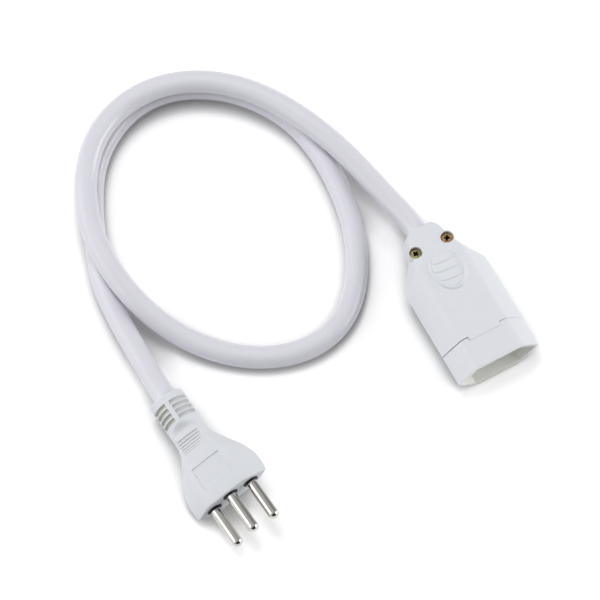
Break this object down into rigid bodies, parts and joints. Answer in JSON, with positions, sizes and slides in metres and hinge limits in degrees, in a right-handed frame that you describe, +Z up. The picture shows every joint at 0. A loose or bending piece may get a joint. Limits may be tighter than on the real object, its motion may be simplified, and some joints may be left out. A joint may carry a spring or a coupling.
{
  "type": "extension cord",
  "caption": "Short round-cord extension lead: a bell-shaped three-pin plug, one loose loop of cord and a flat hexagonal inline connector held shut by cover screws.",
  "frame": {"origin": "on the floor, under the middle of the connector's bounding box", "axes": "+X along the connector towards its mouth, +Y across it, +Z up through the cover"},
  "size_m": [0.2011, 0.1617, 0.0202],
  "materials": {
    "housing": "fine satin moulding, white",
    "plug_housing": "soft satin moulding, white",
    "sheath": "smooth white flexible PVC",
    "brass": "bright stamped brass",
    "zinc": "yellow zinc plated steel",
    "nickel": "nickel plated brass, polished",
    "black": "black moulded insulation",
    "copper": "bare stranded copper",
    "core_line": "brown PVC core",
    "core_neutral": "light blue PVC core",
    "core_earth": "green PVC core"
  },
  "bodies": {
    "cordset": {"socket_base": "housing", "socket_cover": "housing", "line_contact": "brass", "neutral_contact": "brass", "earth_contact": "brass", "socket_sheath_end": "sheath", "socket_line_core": "core_line", "socket_neutral_core": "core_neutral", "socket_earth_core": "core_earth", "socket_line_conductor": "copper", "socket_neutral_conductor": "copper", "socket_earth_conductor": "copper", "cord": "sheath", "plug_body": "plug_housing", "pin_carrier": "black", "line_pin": "nickel", "neutral_pin": "nickel", "earth_pin": "nickel", "plug_sheath_end": "sheath", "plug_line_core": "core_line", "plug_neutral_core": "core_neutral", "plug_earth_core": "core_earth", "plug_line_conductor": "copper", "plug_neutral_conductor": "copper", "plug_earth_conductor": "copper"},
    "left_cover_screw_body": {"left_cover_screw": "zinc"},
    "right_cover_screw_body": {"right_cover_screw": "zinc"},
    "line_terminal_screw_body": {"line_terminal_screw": "zinc"},
    "neutral_terminal_screw_body": {"neutral_terminal_screw": "zinc"},
    "earth_terminal_screw_body": {"earth_terminal_screw": "zinc"}
  },
  "joints": [
    {"name": "left_cover_screw_turn", "type": "hinge", "parent": "cordset", "child": "left_cover_screw_body", "pos_m": [-0.0238, -0.00755, 0.015], "axis": [0, 0, 1], "continuous": true},
    {"name": "right_cover_screw_turn", "type": "hinge", "parent": "cordset", "child": "right_cover_screw_body", "pos_m": [-0.0238, 0.00755, 0.015], "axis": [0, 0, 1], "continuous": true},
    {"name": "line_terminal_screw_turn", "type": "hinge", "parent": "cordset", "child": "line_terminal_screw_body", "pos_m": [-0.0013, 0.0095, 0.0133], "axis": [0, 0, 1], "continuous": true},
    {"name": "neutral_terminal_screw_turn", "type": "hinge", "parent": "cordset", "child": "neutral_terminal_screw_body", "pos_m": [-0.0013, -0.0095, 0.0133], "axis": [0, 0, 1], "continuous": true},
    {"name": "earth_terminal_screw_turn", "type": "hinge", "parent": "cordset", "child": "earth_terminal_screw_body", "pos_m": [-0.0013, 0, 0.0133], "axis": [0, 0, 1], "continuous": true}
  ]
}
